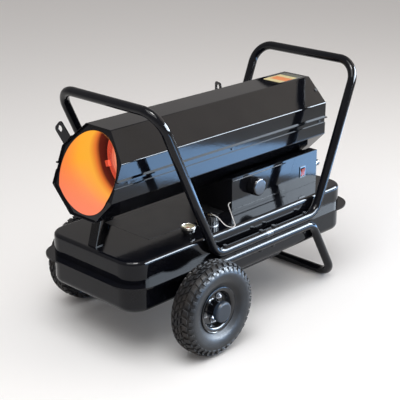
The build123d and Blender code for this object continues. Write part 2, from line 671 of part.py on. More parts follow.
LINER_R, LINER_BACK = 102.7, -20.0
with BuildPart() as combustion_chamber:
    with BuildSketch(at_y(LINER_BACK)):
        with Locations((0, BARREL_Z)):
            Circle(LINER_R)
            Circle(LINER_R - 1.2, mode=Mode.SUBTRACT)
    extrude(amount=440)
    with BuildSketch(at_x(-FLAT - 20)):
        Polygon(*in_front(PLATE_BACK - 2), align=None)
    extrude(amount=2 * FLAT + 40, mode=Mode.SUBTRACT)
save(combustion_chamber.part, "combustion_chamber")

TARGET_Y, TARGET_R = -285.0, 92.0
STRUT_ANGLES = (77, 197, 317)
with BuildPart() as flame_target:
    with BuildSketch(at_x(0)):
        with BuildLine():
            Polyline((TARGET_Y - 5, BARREL_Z), (TARGET_Y - 5, BARREL_Z + 32), (TARGET_Y + 2, BARREL_Z + 67),
                     (TARGET_Y + 10, BARREL_Z + TARGET_R), (TARGET_Y + 12, BARREL_Z + TARGET_R),
                     (TARGET_Y + 4, BARREL_Z + 67), (TARGET_Y - 3, BARREL_Z + 32), (TARGET_Y - 3, BARREL_Z), close=True)
        make_face()
    revolve(axis=BARREL_AXIS)
    for angle in STRUT_ANGLES:
        out = (cos(radians(angle)), 0, sin(radians(angle)))
        foot = Vector(0, TARGET_Y + 11, BARREL_Z) + Vector(*out) * (TARGET_R - 3)
        with BuildSketch(Plane(origin=foot, x_dir=(0, 1, 0), z_dir=out)):
            Rectangle(10, 16)
        extrude(amount=100.6 - TARGET_R + 3)
save(flame_target.part, "flame_target")

HEAD_TUBE_R = 24.0
CELL_X, CELL_Z = 45.0, BARREL_Z - 30
with BuildPart() as burner_head:
    with BuildSketch(at_y(LINER_BACK + 2)):
        with Locations((0, BARREL_Z)):
            Circle(101)
            Circle(HEAD_TUBE_R - SHEET, mode=Mode.SUBTRACT)
            with PolarLocations(82, 12):
                Rectangle(26, 5, rotation=35, mode=Mode.SUBTRACT)
        with Locations((CELL_X, CELL_Z)):
            Circle(5, mode=Mode.SUBTRACT)
    extrude(amount=SHEET)
    with BuildSketch(at_y(LINER_BACK + 35)):
        with Locations((0, BARREL_Z)):
            Circle(HEAD_TUBE_R)
            Circle(HEAD_TUBE_R - SHEET, mode=Mode.SUBTRACT)
    extrude(amount=34)
save(burner_head.part, "burner_head")

NOZZLE_R, NOZZLE_BACK = 8.0, 40.0
with BuildPart() as fuel_nozzle:
    with BuildSketch(at_x(0)):
        with BuildLine():
            Polyline((NOZZLE_BACK, BARREL_Z), (NOZZLE_BACK, BARREL_Z + NOZZLE_R), (-18, BARREL_Z + NOZZLE_R),
                     (-26, BARREL_Z + 3), (-26, BARREL_Z), close=True)
        make_face()
    revolve(axis=BARREL_AXIS)
save(fuel_nozzle.part, "fuel_nozzle")

with BuildPart() as igniter:
    with BuildSketch(at_y(18)):
        with Locations((-5, BARREL_Z + 14), (5, BARREL_Z + 14)):
            Circle(3.5)
    extrude(amount=48)
    with BuildSketch(at_y(13)):
        with Locations((0, BARREL_Z + 14)):
            RectangleRounded(22, 9, 3)
    extrude(amount=6)
save(igniter.part, "igniter")

with BuildPart() as photocell:
    with BuildSketch(at_y(8)):
        with Locations((CELL_X, CELL_Z)):
            Circle(7)
    extrude(amount=25.5)
    chamfer(photocell.faces().sort_by(Axis.Y)[-1].edges(), 1.5)
save(photocell.part, "photocell")

# ---- fan, motor and air pump --------------------------------------------------------------------
SHAFT_R = 5.0
FAN_Y, FAN_R, FAN_HUB_R, FAN_PITCH = 175.0, 98.0, 24.0, radians(35)
MOTOR_Y0, MOTOR_Y1, MOTOR_R = 205.0, 314.0, 45.0
PUMP_Y0, PUMP_Y1 = 316.0, 346.0

with BuildPart() as fan_blade:
    for reach, chord in ((FAN_HUB_R - 4, 34), (FAN_R - 4, 52)):
        lean = FAN_PITCH * (1.3 if reach < FAN_R / 2 else 0.75)
        with BuildSketch(Plane(origin=(0, FAN_Y, BARREL_Z + reach), x_dir=(cos(lean), sin(lean), 0), z_dir=(0, 0, 1))):
            Rectangle(chord, 1.6)
    loft()

with BuildPart() as fan:
    with BuildSketch(at_y(FAN_Y + 14)):
        with Locations((0, BARREL_Z)):
            Circle(FAN_HUB_R)
    extrude(amount=28)
    for turn in range(5):
        add(fan_blade.part.rotate(BARREL_AXIS, 72 * turn))
    with BuildSketch(at_y(FAN_Y + 40)):
        with Locations((0, BARREL_Z)):
            Circle(SHAFT_R + 0.03)
    extrude(amount=80, mode=Mode.SUBTRACT)
save(fan.part, "fan")

with BuildPart() as motor:
    with BuildSketch(at_y(MOTOR_Y1)):
        with Locations((0, BARREL_Z)):
            Circle(MOTOR_R)
    extrude(amount=MOTOR_Y1 - MOTOR_Y0)
    chamfer(motor.edges(), 5)
    with BuildSketch(at_y(MOTOR_Y1 + 1)):
        with Locations((0, BARREL_Z)):
            Circle(SHAFT_R + 0.06)
    extrude(amount=MOTOR_Y1 - MOTOR_Y0 + 2, mode=Mode.SUBTRACT)
save(motor.part, "motor")

with BuildPart() as motor_shaft:
    with BuildSketch(at_y(PUMP_Y1 - 2)):
        with Locations((0, BARREL_Z)):
            Circle(SHAFT_R)
    extrude(amount=PUMP_Y1 - 2 - (FAN_Y - 22))
save(motor_shaft.part, "motor_shaft")

BRACKET_HX, BRACKET_Y0, BRACKET_Y1 = 30.0, 225.0, 295.0
base_z = BARREL_BOTTOM + SHEET
with BuildPart() as motor_bracket:
    with BuildSketch(Plane.XY.offset(base_z)):
        with Locations((0, (BRACKET_Y0 + BRACKET_Y1) / 2)):
            Rectangle(2 * BRACKET_HX, BRACKET_Y1 - BRACKET_Y0)
    extrude(amount=2.5)
    for y in (BRACKET_Y0 + 3, BRACKET_Y1):
        with BuildSketch(at_y(y)):
            with Locations((0, (base_z + BARREL_Z - 25) / 2)):
                Rectangle(2 * BRACKET_HX, BARREL_Z - 25 - base_z)
            with Locations((0, BARREL_Z)):
                Circle(MOTOR_R + 0.05, mode=Mode.SUBTRACT)
        extrude(amount=3)
save(motor_bracket.part, "motor_bracket")

PUMP_R, PORT_X, PORT_Y, PORT_Z = 40.0, -20.0, 333.0, 432.0
with BuildPart() as pump_body:
    with BuildSketch(at_y(PUMP_Y1)):
        with Locations((0, BARREL_Z)):
            Circle(PUMP_R)
    extrude(amount=PUMP_Y1 - PUMP_Y0)
    with BuildSketch(Plane.XY.offset(PORT_Z)):
        with Locations((PORT_X, PORT_Y)):
            Circle(6)
    extrude(amount=20)
    # the cavity is off the shaft's line, so that the vanes sweep a crescent
    with BuildSketch(at_y(PUMP_Y1)):
        with Locations((0, BARREL_Z + 3)):
            Circle(28)
    extrude(amount=PUMP_Y1 - PUMP_Y0 - 5, mode=Mode.SUBTRACT)
    with BuildSketch(at_y(PUMP_Y1)):
        with Locations((0, BARREL_Z)):
            Circle(SHAFT_R + 0.06)
    extrude(amount=PUMP_Y1 - PUMP_Y0 + 1, mode=Mode.SUBTRACT)
save(pump_body.part, "pump_body")

with BuildPart() as pump_rotor:
    with BuildSketch(at_y(PUMP_Y1 - 1.5)):
        with Locations((0, BARREL_Z)):
            Circle(24)
            with PolarLocations(20, 4):
                Rectangle(9, 2.5, mode=Mode.SUBTRACT)
            Circle(SHAFT_R + 0.03, mode=Mode.SUBTRACT)
    extrude(amount=22)
save(pump_rotor.part, "pump_rotor")

with BuildPart() as pump_cover:
    with BuildSketch(at_y(PUMP_Y1 + 6)):
        with Locations((0, BARREL_Z)):
            Circle(PUMP_R)
    extrude(amount=6)
    with BuildSketch(at_y(PUMP_Y1 + 16)):
        with Locations((0, BARREL_Z)):
            Circle(16)
    extrude(amount=10)
    fillet(pump_cover.faces().sort_by(Axis.Y)[-1].edges(), 2)
save(pump_cover.part, "pump_cover")

GUARD_Y, WIRE = 388.0, 3.0
with BuildPart() as rear_guard:
    with BuildSketch(at_y(GUARD_Y)):
        barrel_blank()
        with Locations((0, BARREL_Z)):
            Circle(98, mode=Mode.SUBTRACT)
            for ring in (20, 40, 60, 80):
                Circle(ring)
                Circle(ring - WIRE, mode=Mode.SUBTRACT)
            for angle in (0, 60, 120):
                Rectangle(198, WIRE + 1, rotation=angle)
    extrude(amount=WIRE)
    for side in (-1, 1):
        tab = Plane(origin=(side * facet, GUARD_SCREW_Y, BARREL_Z + facet), x_dir=(0, 1, 0), z_dir=(side, 0, 1))
        with BuildSketch(tab.offset(-SHEET - 1.7)):
            Rectangle(10, 30)
        extrude(amount=SHEET)
        with BuildSketch(tab):
            Circle(SCREW_R + 0.2)
        extrude(amount=-8, mode=Mode.SUBTRACT)
save(rear_guard.part, "rear_guard")

with BuildPart() as fuel_line:
    with BuildSketch(Plane.XY.offset(150)):
        with Locations((FUEL_X, FUEL_Y)):
            Circle(LINE_R)
            Circle(LINE_R - 1, mode=Mode.SUBTRACT)
    extrude(amount=BARREL_Z - NOZZLE_R - 150)
save(fuel_line.part, "fuel_line")

air_line = bent_tube(
    [(PORT_X, PORT_Y, PORT_Z), (PORT_X, PORT_Y, 392), (-40, 300, 371), (-40, 110, 371),
     (-30, 80, 440), (0, 70, BARREL_Z), (0, NOZZLE_BACK, BARREL_Z)],
    [15, 15, 15, 25, 12], LINE_R, LINE_R - 1)
save(air_line, "air_line")

STRAP_HX, STRAP_T = 15.0, 2.5
strap_low, strap_high = TANK_TOP + STRAP_T / 2, BARREL_BOTTOM - STRAP_T / 2
with BuildPart() as barrel_supports:
    with BuildSketch(at_x(-STRAP_HX)):
        with BuildLine():
            Polyline((-392, strap_low), (-414, strap_low), (-391, strap_high), (-366, strap_high))
        trace(line_width=STRAP_T)
    extrude(amount=2 * STRAP_HX)
    with BuildSketch(Plane.XY.offset(BOX_LOW_TOP)):
        with Locations((0, 70), (0, 315)):
            Rectangle(80, 50)
    extrude(amount=BARREL_BOTTOM - BOX_LOW_TOP)
save(barrel_supports.part, "barrel_supports")

# ---- tube frame ---------------------------------------------------------------------------------
COUPLER_Y0, COUPLER_Y1, SPIGOT = 40.0, 65.0, 8.0
FRONT_FOOT_Y, FRONT_TOP_Y = -155.0, -352.0
REAR_FOOT_Y, REAR_TOP_Y = 263.0, 431.0
FOOT_BEND, TOP_BEND = 50.0, 60.0


def arch(end_y, foot_y, top_y, bolts):
    """A handle: two feet on the seam flange, two sloping legs and the grip across."""
    half = [(RAIL_X, end_y, FOOT_Z), (RAIL_X, foot_y, FOOT_Z), (RAIL_X, top_y, HANDLE_Z)]
    route = half + [(-x, y, z) for x, y, z in reversed(half)]
    tube = bent_tube(route, [FOOT_BEND, TOP_BEND, TOP_BEND, FOOT_BEND])
    with BuildPart() as handle:
        add(tube)
        with BuildSketch(Plane.XY.offset(FOOT_Z - 2 * TUBE_R)):
            with Locations(*[(side * RAIL_X, y) for side in (-1, 1) for y in bolts]):
                Circle(BOLT_R + 0.2)
        extrude(amount=4 * TUBE_R, mode=Mode.SUBTRACT)
    return handle.part


save(arch(COUPLER_Y0, FRONT_FOOT_Y, FRONT_TOP_Y, FRONT_BOLT_Y), "front_handle")
save(arch(COUPLER_Y1, REAR_FOOT_Y, REAR_TOP_Y, REAR_BOLT_Y), "rear_handle")

with BuildPart() as foot_couplers:
    for radius, y0, y1 in ((TUBE_R, COUPLER_Y0, COUPLER_Y1),
                           (TUBE_R - TUBE_WALL - 0.1, COUPLER_Y0 - SPIGOT, COUPLER_Y1 + SPIGOT)):
        with BuildSketch(at_y(y1)):
            with Locations((-RAIL_X, FOOT_Z), (RAIL_X, FOOT_Z)):
                Circle(radius)
        extrude(amount=y1 - y0)
save(foot_couplers.part, "foot_couplers")

BOSS_X0, BOSS_X1, BOSS_R = 176.0, 200.0, 12.0
RAIL_FRONT_Y, RAIL_REAR_Y = AXLE_Y + RAIL_Z - AXLE_Z, 251.0
half_route = [(RAIL_X, AXLE_Y + 7, AXLE_Z + 7), (RAIL_X, RAIL_FRONT_Y, RAIL_Z),
              (RAIL_X, RAIL_REAR_Y, RAIL_Z), (RAIL_X, GROUND_Y, TUBE_R)]
frame_tube = bent_tube(half_route + [(-x, y, z) for x, y, z in reversed(half_route)], [FOOT_BEND] * 6)

with BuildPart() as support_frame:
    add(frame_tube)
    for x in (-BOSS_X1, BOSS_X0):
        with BuildSketch(at_x(x)):
            with Locations((AXLE_Y, AXLE_Z)):
                Circle(BOSS_R)
        extrude(amount=BOSS_X1 - BOSS_X0)
    with BuildSketch(at_x(-BOSS_X1 - 5)):
        with Locations((AXLE_Y, AXLE_Z)):
            Circle(AXLE_R + 0.15)
    extrude(amount=2 * BOSS_X1 + 10, mode=Mode.SUBTRACT)
    with BuildSketch(Plane.XY.offset(RAIL_Z - 2 * TUBE_R)):
        with Locations(*BOLT_SPOTS):
            Circle(BOLT_R + 0.2)
    extrude(amount=4 * TUBE_R, mode=Mode.SUBTRACT)
save(support_frame.part, "support_frame")

with BuildPart() as flange_bolts:
    for x, y in BOLT_SPOTS:
        with BuildSketch(Plane.XY.offset(FOOT_Z + TUBE_R)):
            with Locations((x, y)):
                RegularPolygon(5.8, 6)
        extrude(amount=4)
        with BuildSketch(Plane.XY.offset(RAIL_Z - TUBE_R - 7)):
            with Locations((x, y)):
                Circle(BOLT_R)
        extrude(amount=FOOT_Z - RAIL_Z + 2 * TUBE_R + 7)
save(flange_bolts.part, "flange_bolts")

with BuildPart() as flange_nuts:
    for x, y in BOLT_SPOTS:
        with BuildSketch(Plane.XY.offset(RAIL_Z - TUBE_R)):
            with Locations((x, y)):
                RegularPolygon(5.8, 6)
                Circle(BOLT_R + 0.02, mode=Mode.SUBTRACT)
        extrude(amount=-5)
save(flange_nuts.part, "flange_nuts")

# ---- wheels -------------------------------------------------------------------------------------
AXLE_END = 288.0
HUB_X0, HUB_X1 = 204.0, 284.0
BEARING_R, HUB_R = 17.5, 21.0
BEAD_HX, BEAD_R, RIM_WALL, RIM_R = 21.0, 50.3, 3.0, 62.0

with BuildPart() as axle:
    with BuildSketch(at_x(-AXLE_END)):
        with Locations((AXLE_Y, AXLE_Z)):
            Circle(AXLE_R)
    extrude(amount=2 * AXLE_END)
    chamfer(axle.edges(), 1)
save(axle.part, "axle")

with BuildPart() as axle_collars:
    for side in (-1, 1):
        for near, far in ((200.9, 203.7), (284.3, 287.0)):
            with BuildSketch(at_x(side * near)):
                with Locations((AXLE_Y, AXLE_Z)):
                    Circle(12)
                    Circle(AXLE_R + 0.03, mode=Mode.SUBTRACT)
            extrude(amount=side * (far - near))
save(axle_collars.part, "axle_collars")

# Half of the tyre's section as distance from its middle plane and from the axle: outside, then inside.
TYRE_OUTSIDE = [(BEAD_HX, 63), (31, 76), (36.5, 96), (33.5, 114), (25, 123.5), (13, 126.6)]
TYRE_INSIDE = [(13, 62), (24, 78), (29, 96), (26, 110), (14, 117)]


def wheel_points(side, points):
    """Section points on the wheel of one side, from its inner face to its outer face."""
    centre = side * WHEEL_X
    left = [(centre - dx, AXLE_Z + r) for dx, r in points]
    return left, [(centre + dx, AXLE_Z + r) for dx, r in reversed(points)]


for side, name in ((-1, "left"), (1, "right")):
    centre = side * WHEEL_X
    wheel_plane = at_y(AXLE_Y)
    wheel_axis = Axis((0, AXLE_Y, AXLE_Z), (1, 0, 0))

    with BuildPart() as tyre:
        out_left, out_right = wheel_points(side, TYRE_OUTSIDE)
        in_left, in_right = wheel_points(side, TYRE_INSIDE)
        with BuildSketch(wheel_plane):
            with BuildLine():
                Spline(*out_left, (centre, AXLE_Z + WHEEL_R), *out_right)
                Polyline(out_right[-1], (centre + BEAD_HX, AXLE_Z + BEAD_R), (centre + 13, AXLE_Z + BEAD_R), in_right[-1])
                Spline(*in_left, (centre, AXLE_Z + 118), *in_right)
                Polyline(in_left[0], (centre - 13, AXLE_Z + BEAD_R), (centre - BEAD_HX, AXLE_Z + BEAD_R), out_left[0])
            make_face()
        revolve(axis=wheel_axis)
    save(tyre.part, f"tyre_{name}")

    with BuildPart() as rim:
        barrel_r, lip = BEAD_R - GAP, BEAD_HX + GAP
        for x0, x1, r0, r1 in ((-lip - RIM_WALL, lip + RIM_WALL, barrel_r - RIM_WALL, barrel_r),
                               (-lip - RIM_WALL, -lip, barrel_r - RIM_WALL, RIM_R),
                               (lip, lip + RIM_WALL, barrel_r - RIM_WALL, RIM_R),
                               (-4, 0, HUB_R - 1, barrel_r - 1)):
            with BuildSketch(at_x(centre + side * x0)):
                with Locations((AXLE_Y, AXLE_Z)):
                    Circle(r1)
                    Circle(r0, mode=Mode.SUBTRACT)
            extrude(amount=side * (x1 - x0))
        with BuildSketch(at_x(side * HUB_X0)):
            with Locations((AXLE_Y, AXLE_Z)):
                Circle(HUB_R)
                Circle(BEARING_R + 0.02, mode=Mode.SUBTRACT)
        extrude(amount=side * (HUB_X1 - HUB_X0))
        with BuildSketch(at_x(centre - side * 8)):
            with Locations((AXLE_Y, AXLE_Z)):
                with PolarLocations(34, 5):
                    Circle(7)
        extrude(amount=side * 12, mode=Mode.SUBTRACT)
    save(rim.part, f"rim_{name}")

    with BuildPart() as bearings:
        for near, far in ((HUB_X0, HUB_X0 + 11), (HUB_X1 - 11, HUB_X1)):
            with BuildSketch(at_x(side * near)):
                with Locations((AXLE_Y, AXLE_Z)):
                    Circle(BEARING_R)
                    Circle(AXLE_R + 0.05, mode=Mode.SUBTRACT)
            extrude(amount=side * (far - near))
    save(bearings.part, f"bearings_{name}")

    with BuildPart() as hub_cap:
        with BuildSketch(wheel_plane):
            with BuildLine():
                Polyline((side * 290, AXLE_Z), (side * 290, AXLE_Z + 22), (side * 288.6, AXLE_Z + 25.6),
                         (side * 285, AXLE_Z + 27.5), (side * 276, AXLE_Z + 27.5), (side * 276, AXLE_Z + HUB_R + 0.03),
                         (side * 284.4, AXLE_Z + HUB_R + 0.03), (side * 288.4, AXLE_Z + 19),
                         (side * 288.4, AXLE_Z), close=True)
            make_face()
        revolve(axis=wheel_axis)
    save(hub_cap.part, f"hub_cap_{name}")
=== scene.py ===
"""Looks of the portable forced-air heater: camera, light, finishes, tether, tyres, rims and trim."""
import json
import math

import bmesh
import bpy
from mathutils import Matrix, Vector


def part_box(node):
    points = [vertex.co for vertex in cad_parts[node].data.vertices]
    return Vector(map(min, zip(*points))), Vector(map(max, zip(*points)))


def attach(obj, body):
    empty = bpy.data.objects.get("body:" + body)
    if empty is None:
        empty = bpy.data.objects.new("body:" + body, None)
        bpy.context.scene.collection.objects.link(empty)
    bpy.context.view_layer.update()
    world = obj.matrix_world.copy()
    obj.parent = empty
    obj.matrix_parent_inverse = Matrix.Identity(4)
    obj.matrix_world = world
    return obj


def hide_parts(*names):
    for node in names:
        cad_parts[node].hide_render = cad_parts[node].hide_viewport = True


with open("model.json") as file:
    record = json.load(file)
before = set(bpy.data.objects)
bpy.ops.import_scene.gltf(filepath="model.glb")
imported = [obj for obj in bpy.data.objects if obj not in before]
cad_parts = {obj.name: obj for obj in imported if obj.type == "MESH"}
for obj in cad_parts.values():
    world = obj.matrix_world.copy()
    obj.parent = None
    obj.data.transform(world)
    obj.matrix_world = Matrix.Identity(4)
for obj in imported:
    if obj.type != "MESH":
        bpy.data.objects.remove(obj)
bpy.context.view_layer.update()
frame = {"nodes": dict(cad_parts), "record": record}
nodes = frame["nodes"]
MM = 0.001
TINY = 1e-6
BARREL_Z = 0.47825
LINER_R = 0.1016
AXLE_Y, AXLE_Z, WHEEL_X = -0.228, 0.127, 0.246


# ---- camera and tether --------------------------------------------------------------------------
def add_camera(place, target, lens):
    """A level camera that looks from place to target."""
    camera = bpy.data.objects.new("camera", bpy.data.cameras.new("camera"))
    camera.location = place
    camera.rotation_euler = (Vector(target) - Vector(place)).to_track_quat("-Z", "Y").to_euler()
    camera.data.lens = lens
    camera.data.sensor_width = 36
    bpy.context.collection.objects.link(camera)
    bpy.context.scene.camera = camera


add_camera(place=(1.8973, -1.9747, 1.3153), target=(0.0903, -0.1123, 0.350), lens=93.4)

EYE_Z = 0.311
TETHER_D = 0.0025
# From the eye on the cap, over the edge of the tank and up into the control box.
TETHER = [
    (0.121, -0.095, EYE_Z), (0.133, -0.095, EYE_Z), (0.145, -0.096, 0.3075), (0.156, -0.096, 0.300),
    (0.166, -0.0935, 0.293), (0.1755, -0.0875, 0.2885), (0.180, -0.077, 0.287), (0.1765, -0.0665, 0.2875),
    (0.1675, -0.058, 0.288), (0.1565, -0.0495, 0.289), (0.145, -0.0405, 0.291), (0.133, -0.032, 0.2945),
    (0.121, -0.0245, 0.2995), (0.1095, -0.017, 0.306), (0.095, -0.008, 0.313), (0.095, 0.004, 0.313),
]


def nurbs(name, points, radius):
    """A round cord or wire: one open spline whose control points are the route's."""
    curve = bpy.data.curves.new(name, "CURVE")
    curve.dimensions = "3D"
    curve.bevel_depth = radius
    curve.bevel_resolution = 4
    curve.use_fill_caps = True
    spline = curve.splines.new("NURBS")
    spline.points.add(len(points) - 1)
    for spot, point in zip(spline.points, points):
        spot.co = (*point, 1)
    spline.order_u = 3
    spline.use_endpoint_u = True
    spline.resolution_u = 8
    piece = bpy.data.objects.new(name, curve)
    bpy.context.collection.objects.link(piece)
    return piece


tether = nurbs("cap_tether_strand", TETHER, TETHER_D / 2)
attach(tether, "root")
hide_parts("cap_tether")


# ---- shader maths -------------------------------------------------------------------------------
class Value:
    """A number in a finish's node tree, which takes part in ordinary arithmetic."""

    def __init__(self, finish, socket):
        self.finish, self.socket = finish, socket

    def maths(self, operation, first, second=0.0, clamp=False):
        settings = {"operation": operation, "use_clamp": clamp}
        return self.finish.node("ShaderNodeMath", settings, {0: first, 1: second})

    def __add__(self, other):
        return self.maths("ADD", self, other)

    def __radd__(self, other):
        return self.maths("ADD", other, self)

    def __sub__(self, other):
        return self.maths("SUBTRACT", self, other)

    def __rsub__(self, other):
        return self.maths("SUBTRACT", other, self)

    def __mul__(self, other):
        return self.maths("MULTIPLY", self, other)

    def __rmul__(self, other):
        return self.maths("MULTIPLY", other, self)

    def __truediv__(self, other):
        return self.maths("DIVIDE", self, other)

    def __pow__(self, other):
        return self.maths("POWER", self, other)

    def clamped(self):
        return self.maths("ADD", self, 0.0, clamp=True)

    def sine(self):
        return self.maths("SINE", self)

    def size(self):
        return self.maths("ABSOLUTE", self)

    def rise(self, low, high):
        """0 at low, 1 at high, held flat beyond."""
        return ((self - low) / (high - low)).clamped()


class Finish:
    """One material: its node tree, its shader and the few nodes that every finish uses."""

    def __init__(self, name):
        self.material = bpy.data.materials.new(name)
        self.material.use_nodes = True
        self.tree = self.material.node_tree
        self.shader = self.tree.nodes["Principled BSDF"]
        self.place = self.node("ShaderNodeTexCoord", output="Object")

    def put(self, socket, value):
        """Links a Value to a socket, or sets a plain number or colour on it."""
        if isinstance(value, Value):
            self.tree.links.new(value.socket, socket)
        elif socket.type == "RGBA":
            socket.default_value = (*value[:3], 1)
        else:
            socket.default_value = value

    def node(self, kind, settings=None, values=None, output=0):
        """Any node: its settings first, then the numbers, colours or links of its sockets."""
        node = self.tree.nodes.new(kind)
        for name, value in (settings or {}).items():
            if name == "stops":
                ramp = node.color_ramp.elements
                for _ in value[2:]:
                    ramp.new(0.5)
                for stop, (position, colour) in zip(ramp, value):
                    stop.position = position
                    stop.color = (*colour, 1)
            else:
                setattr(node, name, value)
        for name, value in (values or {}).items():
            self.put(node.inputs[name], value)
        return Value(self, node.outputs[output])

    def noise(self, scale, detail=3.0, roughness=0.55):
        """Uneven patches: scale is how many to the metre, detail how many finer layers they have."""
        values = {"Vector": self.place, "Scale": scale, "Detail": detail, "Roughness": roughness}
        return self.node("ShaderNodeTexNoise", None, values)

    def axis(self, letter):
        """The place along X, Y or Z, in metres."""
        return self.node("ShaderNodeSeparateXYZ", None, {0: self.place}, letter)

    def off_barrel_axis(self):
        """How far the place is from the barrel's centre line."""
        height, across = self.axis("Z") - BARREL_Z, self.axis("X")
        return (height * height + across * across) ** 0.5

    def mix(self, amount, first, second):
        """A blend of two colours: the first at 0, the second at 1."""
        return self.node("ShaderNodeMix", {"data_type": "RGBA"}, {0: amount, 6: first, 7: second}, 2)

    def ramp(self, amount, stops):
        """A colour for each amount, blended between stops of (amount, colour)."""
        return self.node("ShaderNodeValToRGB", {"stops": stops}, {0: amount})

    def bump(self, height, distance):
        """Relief: distance is the height of a full step, in metres."""
        values = {"Height": height, "Distance": distance}
        self.surface({"Normal": self.node("ShaderNodeBump", None, values)})

    def surface(self, values):
        """Sets or links the shader's own sockets."""
        for name, value in values.items():
            self.put(self.shader.inputs[name], value)


# ---- finishes -----------------------------------------------------------------------------------
def enamel(name, colour, dust, peel, roughness=0.07, index=1.3):
    """Baked gloss enamel: faint orange peel, thin dust in patches, slightly uneven gloss."""
    finish = Finish(name)
    patches = finish.noise(9, 5).rise(0.42, 0.75)
    specks = finish.noise(420, 2).rise(0.62, 0.74)
    grime = (patches * 0.5 + specks * 0.25).clamped()
    finish.surface({
        "Base Color": finish.mix(grime, colour, dust),
        "Roughness": roughness + patches * 0.05 + specks * 0.1,
        "IOR": index,
    })
    finish.bump(finish.noise(170, 2, 0.4) + finish.noise(14, 2) * 2.0, peel)
    return finish.material


def satin_metal(name, colour, dark, roughness):
    """Plated or cast metal: fine grain, a little tarnish."""
    finish = Finish(name)
    grain = finish.noise(360, 4)
    tarnish = finish.noise(35, 4).rise(0.5, 0.8)
    finish.surface({
        "Base Color": finish.mix((tarnish * 0.7 + grain * 0.2).clamped(), colour, dark),
        "Metallic": 1.0,
        "Roughness": roughness + grain * 0.12 + tarnish * 0.12,
    })
    finish.bump(grain, 0.00004)
    return finish.material


def moulded(name, colour, pale, roughness, grain=0.00005, coat=0.0):
    """Moulded plastic: fine spark-eroded grain and rubbed, paler patches."""
    finish = Finish(name)
    rubbed = finish.noise(45, 4).rise(0.5, 0.8)
    grains = finish.noise(900, 2)
    finish.surface({
        "Base Color": finish.mix(rubbed * 0.5, colour, pale),
        "Roughness": roughness + rubbed * 0.1 + grains * 0.05,
        "Coat Weight": coat,
    })
    finish.bump(grains, grain)
    return finish.material


def tyre_rubber():
    """Tyre rubber: dusty brown on the tread, cleaner and shinier on the sidewalls."""
    finish = Finish("tyre_rubber")
    off_middle = (finish.axis("X").size() - WHEEL_X).size()
    sidewall = off_middle.rise(0.026, 0.034)
    dust = finish.noise(30, 5).rise(0.35, 0.75)
    fine = finish.noise(700, 3)
    dusty = (dust * (1.0 - sidewall * 0.9)).clamped()
    finish.surface({
        "Base Color": finish.mix(dusty, (0.0035, 0.0045, 0.007), (0.024, 0.0195, 0.017)),
        "Roughness": 0.5 - sidewall * 0.16 + dust * 0.14,
        "IOR": 1.36,
        "Coat Weight": 0.04 + sidewall * 0.12,
        "Coat Roughness": 0.2,
    })
    finish.bump(fine + finish.noise(90, 3), 0.00025)
    return finish.material


def hot_steel():
    """The liner, with a painted glow in its emission colour: pink-orange at the mouth, yellow deeper in,
    and a painted shadow behind the dish.
    """
    finish = Finish("hot_steel")
    height = finish.axis("Z") - BARREL_Z
    inside = 1.0 - (finish.off_barrel_axis() - LINER_R).rise(0.0, 0.0002)
    soot = finish.noise(16, 4)
    wander = (finish.noise(5, 2) - 0.5) * 0.12
    depth = (finish.axis("Y") + wander * 0.2 + height * 0.12).rise(-0.45, -0.25)
    # Painted glow: red-pink at the mouth, orange-yellow deeper in; the dark last stops are a painted shadow
    # behind the dish.
    painted_glow = finish.ramp(depth, [
        (0.0, (0.93, 0.20, 0.07)), (0.22, (0.95, 0.27, 0.05)), (0.42, (0.96, 0.42, 0.035)),
        (0.60, (0.95, 0.44, 0.04)), (0.71, (0.72, 0.17, 0.03)), (0.78, (0.07, 0.008, 0.006)),
        (1.0, (0.02, 0.003, 0.003)),
    ])
    pink = finish.mix(depth.rise(0.35, 0.7), (0.93, 0.235, 0.15), painted_glow)
    low = (height * -1.0).rise(0.0, 0.1)
    finish.surface({
        "Base Color": finish.ramp(soot, [(0.3, (0.05, 0.02, 0.015)), (0.7, (0.03, 0.012, 0.008))]),
        "Roughness": 0.4 + soot * 0.2,
        "IOR": 1.2,
        "Emission Color": finish.mix(inside, (0.0, 0.0, 0.0), finish.mix(low * 0.75, painted_glow, pink)),
        "Emission Strength": 1.0,
    })
    finish.bump(soot + finish.noise(200, 3) * 0.3, 0.0003)
    return finish.material


def target_steel():
    """The flame target: bright dished steel with a painted pink-red glow in its emission, and a painted
    pale highlight in the middle.
    """
    finish = Finish("target_steel")
    radius = finish.off_barrel_axis()
    blotch = finish.noise(30, 5)
    # Painted glow: a painted pale highlight in the middle, pink-red towards the rim.
    painted_glow = finish.ramp((radius + blotch * 0.02).rise(0.0, 0.11), [
        (0.0, (0.55, 0.34, 0.30)), (0.45, (0.62, 0.30, 0.25)), (0.62, (0.55, 0.13, 0.10)),
        (0.76, (0.50, 0.05, 0.03)), (1.0, (0.80, 0.09, 0.04)),
    ])
    finish.surface({
        "Base Color": finish.mix(blotch, (0.75, 0.5, 0.46), (0.5, 0.25, 0.2)),
        "Metallic": 0.9,
        "Roughness": 0.18 + blotch * 0.15,
        "Emission Color": painted_glow,
        "Emission Strength": 0.8,
    })
    finish.bump(blotch + (radius * 520.0).sine() * 0.25, 0.0006)
    return finish.material


def pale_card():
    """Printed card for the gauge's dial: pale, with faint fibres and yellowing."""
    finish = Finish("pale_card")
    mottle = finish.noise(60, 4)
    finish.surface({
        "Base Color": finish.mix(mottle, (0.5, 0.45, 0.3), (0.4, 0.35, 0.22)),
        "Roughness": 0.45 + mottle * 0.15,
    })
    finish.bump(finish.noise(500, 2), 0.00003)
    return finish.material


